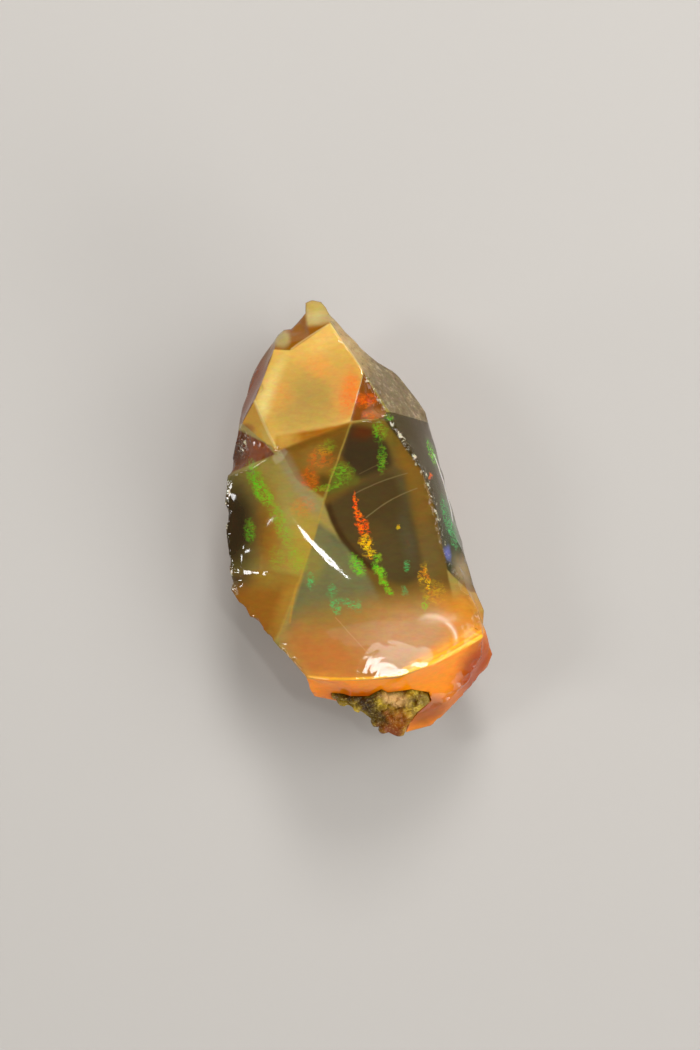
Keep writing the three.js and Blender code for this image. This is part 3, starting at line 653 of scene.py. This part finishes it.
# the foot below the keel: the keel seen from above, the corners that close an outline above
# it, the y at which the foot sets in and is full, and its colour and glows
KEEL = [(-6.2, -17.5), (-0.8, -17.75), (4.2, -17.45), (8.0, -16.1), (10.0, -14.9), (13.8, -12.9)]
ABOVE_KEEL = [(16.0, 22.0), (-16.0, 22.0), (-16.0, -12.0)]
FOOT_TOP = (-12.0, -12.6)
# the stone's orange, painted brighter as a glow of light passing through it
FOOT = (255, 146, 0)
FOOT_GLOWS = [
    ((-3.6, -18.8), (2.6, 1.5), 0, 0.7, (252, 140, 0), 0.8),
    ((9.0, -16.8), (3.4, 1.6), 25, 0.7, (252, 146, 20), 0.8),
    ((13.0, -16.6), (1.7, 4.4), -25, 0.7, (150, 48, 0), 0.9),
    ((2.5, -20.0), (5.5, 1.1), -5, 0.6, (160, 54, 2), 0.8),
    ((7.6, -21.6), (2.8, 1.3), 25, 0.7, (132, 56, 14), 0.8),
]

# lines seen from above, each along a circle through three points: the points, half the line's
# width, its softness, its colour and its strength
LINES = [
    ([(-8.3, 6.7), (-6.6, 3.6), (-4.5, 0.8)], 0.2, 1.0, (150, 138, 104), 0.5),
    ([(-3.4, 1.5), (-1.6, -2.4), (1.6, -5.6)], 0.1, 0.5, (60, 38, 10), 0.9),
    ([(-0.9, 10.4), (-2.2, 6.7), (-3.4, 3.4)], 0.0, 0.13, (176, 140, 36), 0.45),
    ([(-3.4, 3.4), (-5.55, -3.9), (-9.0, -13.2)], 0.0, 0.2, (184, 148, 50), 0.4),
    ([(-6.8, -7.1), (-7.3, -9.4), (-7.6, -11.6)], 0.0, 0.22, (190, 140, 46), 0.6),
    ([(3.1, 6.2), (1.6, 5.6), (0.0, 4.8)], 0.0, 0.12, (122, 104, 60), 0.35),
    ([(5.3, 4.9), (2.2, 3.9), (-0.6, 2.6)], 0.0, 0.12, (136, 118, 74), 0.5),
    ([(6.4, 3.3), (3.4, 1.9), (0.7, 0.0)], 0.0, 0.12, (144, 126, 80), 0.55),
    # a painted highlight: the white line along the right rim
    ([(8.25, 7.1), (9.5, 3.5), (10.4, -0.4)], 0.02, 0.1, (230, 228, 220), 0.8),
    # painted highlights: the pale arc in the bowl and its brighter end
    ([(7.0, -10.8), (10.1, -11.9), (10.7, -13.5)], 0.0, 0.5, (236, 196, 158), 0.6),
    ([(9.6, -11.5), (10.4, -12.4), (10.7, -13.4)], 0.0, 0.22, (250, 226, 200), 0.6),
    ([(-2.6, -10.9), (-0.9, -12.8), (1.0, -14.9)], 0.0, 0.12, (206, 158, 104), 0.4),
    # painted highlights along the crown's edges: its lower left edge, the band along its lower bevel, its
    # top left and its top right edge
    ([(-11.5, 12.9), (-10.3, 10.1), (-9.05, 7.6)], 0.05, 0.2, (240, 220, 150), 0.4),
    ([(-9.1, 9.1), (-5.0, 9.75), (-0.9, 10.6)], 0.0, 0.4, (226, 186, 100), 0.35),
    ([(-3.3, 21.3), (-5.5, 19.95), (-7.5, 18.5)], 0.0, 0.16, (246, 220, 150), 0.4),
    ([(-3.1, 21.3), (-1.3, 18.7), (0.4, 16.1)], 0.0, 0.18, (238, 208, 146), 0.4),
]
# bright lines along the keel: painted glow of light caught inside the stone, over its orange
KEEL_LINES = [
    ([(-5.7, -17.4), (0.2, -17.55), (5.3, -16.95)], 0.05, 0.2, (255, 186, 44), 0.8),
    ([(4.4, -17.0), (9.1, -15.35), (13.6, -12.9)], 0.1, 0.22, (255, 200, 44), 0.95),
    ([(4.8, -16.5), (9.2, -14.8), (13.4, -12.4)], 0.05, 0.2, (255, 184, 40), 0.8),
    ([(5.6, -15.9), (9.2, -14.3), (12.6, -12.1)], 0.03, 0.22, (255, 176, 54), 0.5),
]

# play of colour: the two colours between which its flakes lie, and its patches, each with its
# centre, radii, turn and strength
FIRE = [
    ((78, 226, 22), (150, 168, 34), [
        ((2.2, -5.8), (0.5, 1.0), 38, 0.9), ((3.0, -7.5), (0.4, 1.1), 36, 0.8),
        ((2.1, -4.4), (0.4, 0.5), 0, 0.8), ((-0.2, -5.2), (0.6, 1.3), 30, 0.8),
        ((-11.4, 4.5), (0.7, 1.7), 18, 0.75), ((-10.5, 2.7), (0.8, 1.5), 35, 0.8),
        ((-8.6, -0.6), (0.8, 2.8), 25, 0.4), ((-12.0, -1.4), (0.6, 1.2), 0, 0.4),
        ((-1.9, 5.0), (1.2, 0.9), 10, 0.45), ((-3.4, 3.4), (1.8, 0.3), 12, 0.5),
        ((2.5, 6.4), (0.45, 1.4), 0, 0.55), ((2.2, 9.4), (0.7, 1.0), 0, 0.5),
        ((7.3, -9.4), (0.4, 0.8), 0, 0.6), ((-6.8, -4.6), (1.0, 1.3), 20, 0.35),
        ((8.0, 7.2), (0.35, 1.4), 20, 0.8), ((-3.6, 7.6), (1.0, 0.7), 20, 0.3),
        ((-9.0, -4.4), (0.9, 1.3), 0, 0.25), ((3.2, 11.0), (0.5, 0.4), 0, 0.5),
    ]),
    ((50, 214, 110), (90, 140, 84), [
        ((-3.0, -8.0), (0.5, 0.7), 0, 0.5), ((-2.6, -9.7), (0.5, 0.9), 25, 0.7),
        ((-1.2, -9.4), (1.1, 0.4), -30, 0.7), ((-0.2, -9.7), (0.5, 0.6), 0, 0.5),
        ((5.2, -5.2), (0.3, 0.6), 0, 0.8), ((-5.3, -6.9), (0.4, 0.9), 0, 0.6),
        ((9.6, 0.4), (0.45, 2.2), 14, 0.5), ((10.4, -1.6), (0.45, 1.6), 14, 0.7),
        ((5.0, -8.0), (0.3, 0.5), 0, 0.5),
    ]),
    ((255, 60, 4), (255, 130, 14), [
        ((-0.4, 1.6), (0.22, 1.1), 6, 1.1), ((-0.1, 0.2), (0.4, 0.8), 15, 1.2),
        ((0.4, -0.9), (0.6, 0.95), 22, 1.3), ((-4.2, 6.6), (1.3, 1.0), 20, 0.38),
        ((-5.4, 4.3), (0.9, 1.1), 0, 0.35), ((7.8, 4.5), (0.2, 0.4), 0, 0.7),
        ((-6.2, 1.2), (1.3, 1.0), 20, 0.25), ((-1.0, 13.6), (0.9, 2.2), -10, 0.35),
        ((0.6, 12.8), (1.2, 0.7), 10, 0.5), ((-4.4, 16.4), (1.5, 1.1), -30, 0.12),
        ((-8.9, 13.6), (1.4, 1.8), 20, 0.12), ((1.2, 11.2), (0.9, 0.4), 0, 0.4),
    ]),
    ((255, 226, 20), (236, 130, 10), [
        ((0.75, -2.7), (0.65, 0.8), 20, 1.2), ((1.2, -3.9), (0.6, 0.5), 30, 0.8),
        ((7.6, -7.3), (0.25, 0.8), 0, 0.9), ((7.0, -6.1), (0.4, 1.1), -12, 0.6),
        ((8.3, -8.2), (1.2, 1.2), 0, 0.3), ((4.3, -1.0), (0.16, 0.3), 0, 0.6),
    ]),
]
FLAKE = 0.32  # the size of its flakes

# pale bruised edges, partly painted glints, each along a circle through three points: the points and half
# the width
BRUISES_AND_GLINTS = [
    ([(0.9, 15.2), (3.0, 11.4), (5.2, 7.8)], 0.02),
    ([(5.2, 7.8), (7.2, 4.5), (8.3, 1.2)], 0.05),
    ([(8.3, 1.2), (9.1, -2.0), (9.8, -5.0)], 0.02),
    ([(-13.9, 4.7), (-14.7, 0.0), (-13.5, -8.4)], 0.02),
]
SCUFF_GLINT = ((-12.7, 8.3), (0.5, 1.1), -15)  # a pale ellipse, a painted glint on bruised glass: its centre, radii and turn
# the pale of crushed glass, which also paints the glints on the edges
BRUISED_GLASS_AND_GLINT = (226, 218, 190)

# how far noise strays the soft glows, the crisp edges, and the ragged fire and the bruises with their
# painted glints
SMOOTH_STRAY = 0.9
CRISP_STRAY = 0.15
RAGGED_STRAY = 0.8

SKIN_PALE = (184, 164, 132)
SKIN_DARK = (70, 52, 28)

# the underside: its honey brown, and its milky and orange clouds
UNDERSIDE = (176, 116, 42)
UNDERSIDE_MILK = (150, 134, 82)
UNDERSIDE_ORANGE = (214, 120, 30)

# the silky grain all over: how it is stretched and how strongly it tints each colour
SILK_STRETCH = (0.7, 1.5, 1.0)
SILK_TINT = (0.45, 0.55, 0.7)


class Coat:
    """A colour that is built up layer by layer."""

    def __init__(self, graph, tint):
        self.graph = graph
        self.colour = srgb(*tint)

    def lay(self, mask, colour):
        self.colour = self.graph.mix(mask, self.colour, colour)

    def lay_glows(self, plan, glows):
        for centre, radii, turn, soft, tint, strength in glows:
            self.lay(self.graph.blob(plan, centre, radii, turn, soft, strength), srgb(*tint))

    def lay_arcs(self, plan, lines):
        """Lines along circles, worked out three at a time."""
        for i in range(0, len(lines), 3):
            group = lines[i:i + 3]
            curves = [(points, wide, soft, strength) for points, wide, soft, _tint, strength in group]
            strengths = self.graph.arcs(plan, curves)
            for axis, line in zip(((1, 0, 0), (0, 1, 0), (0, 0, 1)), group):
                self.lay(self.graph.vector("DOT_PRODUCT", strengths, axis), srgb(*line[3]))


def lay_regions(graph, body, crisp, smooth):
    """The facets, dishes and slopes, each with its own crisp outline and soft glows."""
    for outline, soft, tint, glows in REGIONS:
        region = Coat(graph, tint)
        region.lay_glows(smooth, glows)
        body.lay(graph.convex(crisp, outline, soft), region.colour)


def lay_foot(graph, body, crisp, smooth):
    """The orange foot, painted bright as a glow of light passing through the stone: what is low down and
    beyond the outline of all that is above the keel.
    """
    foot = Coat(graph, FOOT)
    foot.lay_glows(smooth, FOOT_GLOWS)
    below_keel = graph.step(graph.beyond(crisp, KEEL + ABOVE_KEEL, 0.0), 0.0, 0.15)
    low = graph.step(graph.vector("DOT_PRODUCT", graph.place, (0.0, 1.0, 0.0)), *FOOT_TOP)
    body.lay(graph.math("MULTIPLY", low, below_keel), foot.colour)


def lay_underside(graph, body):
    """Clouds of honey and milk below, over all that is drawn from above."""
    cloud = graph.noise(graph.place, 6.0, 3.0, 0.6).outputs["Fac"]
    under = Coat(graph, UNDERSIDE)
    under.lay(graph.step(cloud, 0.5, 0.62), srgb(*UNDERSIDE_MILK))
    under.lay(graph.step(cloud, 0.47, 0.36), srgb(*UNDERSIDE_ORANGE))
    normal = graph.node("ShaderNodeTexCoord").outputs["Normal"]
    facing = graph.vector("DOT_PRODUCT", normal, (0.0, 0.0, 1.0))
    body.lay(graph.step(facing, -0.05, -0.35), under.colour)


def lay_bruises_and_glints(graph, body, torn):
    """Crushed glass along the edges, pale wherever it is broken, which also paints glints on them."""
    centre, radii, turn = SCUFF_GLINT
    bruised = graph.blob(torn, centre, radii, turn, 0.5)
    for i in range(0, len(BRUISES_AND_GLINTS), 3):
        curves = [(points, wide, 0.25, 1.0) for points, wide in BRUISES_AND_GLINTS[i:i + 3]]
        bruised = graph.math("MAXIMUM", bruised, graph.vector("LENGTH", graph.arcs(torn, curves)))
    broken = graph.step(graph.noise(graph.place, 0.7, 3.0, 0.7).outputs["Fac"], 0.5, 0.64, 0.8)
    body.lay(graph.math("MULTIPLY", bruised, broken), srgb(*BRUISED_GLASS_AND_GLINT))


def lay_fire(graph, body, ragged, torn):
    """Blocky flakes of spectral colour. Torn is the plan of the ragged places."""
    cells = graph.node("ShaderNodeTexVoronoi", feature="F1", distance="CHEBYCHEV")
    graph.feed(cells.inputs["Vector"], graph.vector("MULTIPLY", ragged, (1.0, 1.7, 1.0)))
    cells.inputs["Scale"].default_value = 1 / FLAKE
    hue = graph.vector("DOT_PRODUCT", cells.outputs["Color"], (0.0, 1.0, 0.0))
    block = graph.vector("DOT_PRODUCT", cells.outputs["Color"], (0.35, 0.0, 0.0))
    stretched = graph.vector("MULTIPLY", graph.place, (0.8, 1.7, 1.0))
    flecks = graph.noise(stretched, FLAKE, 2.0, 0.7).outputs["Fac"]
    lit = graph.step(graph.math("ADD", flecks, block), 0.44, 0.88)
    for tint, other, patches in FIRE:
        mask = graph.math("MULTIPLY", graph.blobs(torn, patches), lit, clamp=True)
        body.lay(mask, graph.mix(hue, srgb(*tint), srgb(*other)))


def opal_colours(graph, skin):
    """The body colour of the opal, whose frosted skin is mottled."""
    stray = graph.stray(graph.place, 2.0, 2.0)
    smooth = graph.plan(graph.strayed(stray, SMOOTH_STRAY))
    crisp = graph.plan(graph.strayed(stray, CRISP_STRAY))
    body = Coat(graph, BODY)
    body.lay_glows(smooth, BODY_GLOWS)
    lay_regions(graph, body, crisp, smooth)
    body.lay_arcs(crisp, LINES)
    lay_foot(graph, body, crisp, smooth)
    body.lay_arcs(crisp, KEEL_LINES)
    mottle = graph.noise(graph.place, 0.9, 3.0, 0.75).outputs["Fac"]
    body.lay(graph.math("MULTIPLY", skin, graph.step(mottle, 0.5, 0.7, 0.5)), srgb(*SKIN_PALE))
    body.lay(graph.math("MULTIPLY", skin, graph.step(mottle, 0.48, 0.32, 0.6)), srgb(*SKIN_DARK))

    ragged = graph.strayed(graph.stray(graph.place, 0.45, 1.0), RAGGED_STRAY)
    torn = graph.plan(ragged)
    lay_bruises_and_glints(graph, body, torn)
    lay_underside(graph, body)

    silk = graph.stray(graph.vector("MULTIPLY", graph.place, SILK_STRETCH), 0.8, 2.0, 0.75)
    silk = graph.vector("MULTIPLY_ADD", silk, SILK_TINT, (1.0, 1.0, 1.0))
    body.colour = graph.vector("MULTIPLY", body.colour, silk)
    lay_fire(graph, body, ragged, torn)
    return body.colour


# the rock's ochre, its coarse patches and its fine grains, each dark and pale
ROCK = (122, 98, 22)
ROCK_PALE = (190, 160, 50)
ROCK_DARK = (92, 40, 8)
GRAIN_PALE = (226, 200, 110)
GRAIN_DARK = (66, 40, 6)

# glows on the rock: its dark red-brown rim, its pale crumb, its amber toe and the toe's edge
ROCK_GLOWS = [
    ((-1.2, -19.2), (2.0, 0.9), -20, 0.5, (48, 20, 2), 0.9),
    ((0.8, -20.3), (1.0, 0.8), 0, 0.6, (46, 24, 2), 0.9),
    ((2.6, -18.4), (1.0, 0.4), 0, 0.6, (96, 66, 22), 0.7),
    ((4.0, -20.0), (1.4, 0.7), -15, 0.6, (206, 160, 100), 0.8),
    ((7.6, -18.9), (0.7, 0.6), 0, 0.5, (92, 44, 10), 0.9),
    ((4.2, -22.4), (1.7, 1.3), 0, 0.6, (132, 62, 0), 0.8),
    ((1.8, -21.9), (2.3, 0.8), -48, 0.6, (58, 38, 2), 0.85),
    ((3.6, -23.6), (1.4, 0.6), -20, 0.6, (112, 46, 2), 0.85),
]

# the spot in the bowl that is duller than the glass around it: an ellipse as in a glow
DULL_SPOT = ((8.8, -10.8), (2.6, 1.5), -15, 0.98, 0.45)
POLISHED_ROUGHNESS = 0.06
FROSTED_ROUGHNESS = 0.46
POLISHED_TRANSMISSION = 0.28
FROSTED_TRANSMISSION = 0.08


def make_opal_material():
    """Milky, half clear glass that soaks up blue light, frosted on its skin."""
    graph = Graph("opal")
    here = graph.plan(graph.place)
    skin = graph.convex(here, SKIN, 0.15)
    shader = graph.node("ShaderNodeBsdfPrincipled")
    graph.feed(shader.inputs["Base Color"], opal_colours(graph, skin))
    dull = graph.blob(here, *DULL_SPOT)
    frosted = graph.math("MAXIMUM", skin, dull)
    roughness = graph.between(frosted, POLISHED_ROUGHNESS, FROSTED_ROUGHNESS)
    graph.feed(shader.inputs["Roughness"], roughness)
    shader.inputs["IOR"].default_value = 1.45
    shader.inputs["Specular IOR Level"].default_value = 0.35
    transmission = graph.between(skin, POLISHED_TRANSMISSION, FROSTED_TRANSMISSION)
    graph.feed(shader.inputs["Transmission Weight"], transmission)
    shader.inputs["Subsurface Weight"].default_value = 0.15
    shader.inputs["Subsurface Radius"].default_value = (1.0, 0.6, 0.3)
    shader.inputs["Subsurface Scale"].default_value = 0.0006
    out = graph.node("ShaderNodeOutputMaterial")
    graph.feed(out.inputs["Surface"], shader.outputs[0])
    volume = graph.node("ShaderNodeVolumeAbsorption")
    volume.inputs["Color"].default_value = (0.95, 0.62, 0.2, 1.0)
    volume.inputs["Density"].default_value = 450.0
    graph.feed(out.inputs["Volume"], volume.outputs[0])
    return graph.material


def make_rock_material():
    """Wet ochre rock with dark and pale grains."""
    graph = Graph("host_rock")
    plan = graph.plan(graph.strayed(graph.stray(graph.place, 0.8, 3.0), 1.2))
    patches = graph.noise(graph.place, 1.3, 4.0, 0.6).outputs["Fac"]
    grains = graph.noise(graph.place, 0.22, 4.0, 0.75).outputs["Fac"]
    rock = Coat(graph, ROCK)
    rock.lay(graph.step(patches, 0.48, 0.66), srgb(*ROCK_PALE))
    rock.lay(graph.step(patches, 0.46, 0.32), srgb(*ROCK_DARK))
    rock.lay_glows(plan, ROCK_GLOWS)
    rock.lay(graph.step(grains, 0.45, 0.3, 0.6), srgb(*GRAIN_DARK))
    rock.lay(graph.step(grains, 0.56, 0.72, 0.6), srgb(*GRAIN_PALE))
    shader = graph.node("ShaderNodeBsdfPrincipled")
    graph.feed(shader.inputs["Base Color"], rock.colour)
    graph.feed(shader.inputs["Roughness"], graph.step(grains, 0.3, 0.9, 0.9))
    shader.inputs["Specular IOR Level"].default_value = 0.15
    bump = graph.node("ShaderNodeBump")
    bump.inputs["Strength"].default_value = 0.6
    bump.inputs["Distance"].default_value = 0.00006
    graph.feed(bump.inputs["Height"], grains)
    graph.feed(shader.inputs["Normal"], bump.outputs[0])
    out = graph.node("ShaderNodeOutputMaterial")
    graph.feed(out.inputs["Surface"], shader.outputs[0])
    return graph.material


# ---------------------------------------------------------------- pieces
def add_opal():
    piece = fine_copy("opal", "opal_stone", levels=2, soft_angle=5.0, sharp_angle=11.0)
    displace(piece, "opal", polish_front)
    refine(piece, needs_detail)
    displace(piece, "opal", polish_again)
    displace(piece, "opal", cut_steps)
    displace(piece, "opal", opal_relief)
    piece.data.materials.clear()
    piece.data.materials.append(make_opal_material())
    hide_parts("opal")
    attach(piece, "root")


def add_rock():
    piece = fine_copy("host_rock", "host_rock_remnant", levels=2, soft_angle=15.0, sharp_angle=60.0)
    displace(piece, "host_rock", rock_relief)
    piece.data.materials.clear()
    piece.data.materials.append(make_rock_material())
    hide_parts("host_rock")
    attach(piece, "root")


# ---------------------------------------------------------------- studio
FLOOR_SIZE = 3.0
FLOOR_COLOUR = (0.38, 0.362, 0.34, 1.0)
SKY_COLOUR = (0.9, 0.84, 0.76, 1.0)
SKY_STRENGTH = 0.26

# The area lights, all facing the stone: their name, azimuth and elevation, distance, size and
# radiance, then the way their first size runs, seen from above, and their shape. Azimuth 0 is
# towards +Y and turns towards +X.
SOFTBOXES = [
    ("side_key", 80, 45, 0.6, (0.4, 0.4), 4.0, (1, 0), "RECTANGLE"),
    ("front_fill", 132, 18, 0.7, (0.36, 0.3), 7.0, (1, 0), "RECTANGLE"),
    ("overhead", 5, 66, 0.6, (0.36, 0.28), 1.0, (1, 0), "RECTANGLE"),
    ("window", 4, 37, 0.6, (0.18, 0.16), 26.0, (1, 0), "RECTANGLE"),
    ("window_top", 5, 51, 0.6, (0.18, 0.13), 6.0, (1, 0), "ELLIPSE"),
    ("left_strip", -85, 43, 0.6, (0.15, 0.06), 30.0, (1, 0), "RECTANGLE"),
    ("low_fill", 172, 12, 0.7, (0.9, 0.24), 2.4, (1, 0), "RECTANGLE"),
    ("left_spark", -95, 13, 0.6, (0.14, 0.06), 25.0, (1, 0), "RECTANGLE"),
    ("crescent_strip", 75, 78, 0.6, (0.16, 0.02), 46.0, (0.67, -0.74), "ELLIPSE"),
]

CAMERA_LENS = 150.0
CAMERA_SENSOR = 36.0
VIEW_HEIGHT_MM = 115.5  # of the whole picture, on the stone's middle level
VIEW_CENTRE_MM = (-0.99, -0.77)
MIDDLE_LEVEL = 0.7  # of the stone's height
CAMERA_CLIP = (0.01, 10.0)


def add_floor():
    bpy.ops.mesh.primitive_plane_add(size=FLOOR_SIZE)
    floor = bpy.context.object
    floor.name = "floor"
    material = bpy.data.materials.new("pale_floor")
    material.use_nodes = True
    shader = material.node_tree.nodes["Principled BSDF"]
    shader.inputs["Base Color"].default_value = FLOOR_COLOUR
    shader.inputs["Roughness"].default_value = 0.7
    floor.data.materials.append(material)


def add_softbox(name, azimuth, elevation, distance, size, radiance, heading, shape):
    around = math.radians(azimuth)
    up = math.radians(elevation)
    toward = Vector((math.sin(around) * math.cos(up), math.cos(around) * math.cos(up), math.sin(up)))
    first = Vector((*heading, 0.0))
    first = (first - first.dot(toward) * toward).normalized()
    data = bpy.data.lights.new(name, "AREA")
    data.shape = shape
    data.size, data.size_y = size
    area = size[0] * size[1] * (math.pi / 4 if shape == "ELLIPSE" else 1.0)
    data.energy = radiance * math.pi * area
    light = bpy.data.objects.new(name, data)
    turn = Matrix((first, toward.cross(first), toward)).transposed().to_4x4()
    light.matrix_world = Matrix.Translation(toward * distance) @ turn
    bpy.context.collection.objects.link(light)


def add_studio():
    world = bpy.data.worlds.new("studio")
    world.use_nodes = True
    background = world.node_tree.nodes["Background"]
    background.inputs["Color"].default_value = SKY_COLOUR
    background.inputs["Strength"].default_value = SKY_STRENGTH
    bpy.context.scene.world = world
    bpy.context.scene.view_settings.view_transform = "Standard"
    for softbox in SOFTBOXES:
        add_softbox(*softbox)


def add_camera():
    data = bpy.data.cameras.new("camera")
    data.lens = CAMERA_LENS
    data.sensor_width = CAMERA_SENSOR
    camera = bpy.data.objects.new("camera", data)
    level = MIDDLE_LEVEL * STONE_HIGH[2]
    distance = VIEW_HEIGHT_MM * UNIT * CAMERA_LENS / CAMERA_SENSOR
    centre = Vector((*VIEW_CENTRE_MM, 0.0)) * UNIT + ORIGIN
    camera.location = (centre.x, centre.y, level + distance)
    data.clip_start, data.clip_end = CAMERA_CLIP
    bpy.context.collection.objects.link(camera)
    bpy.context.scene.camera = camera


add_camera()
add_floor()
add_studio()
add_opal()
add_rock()
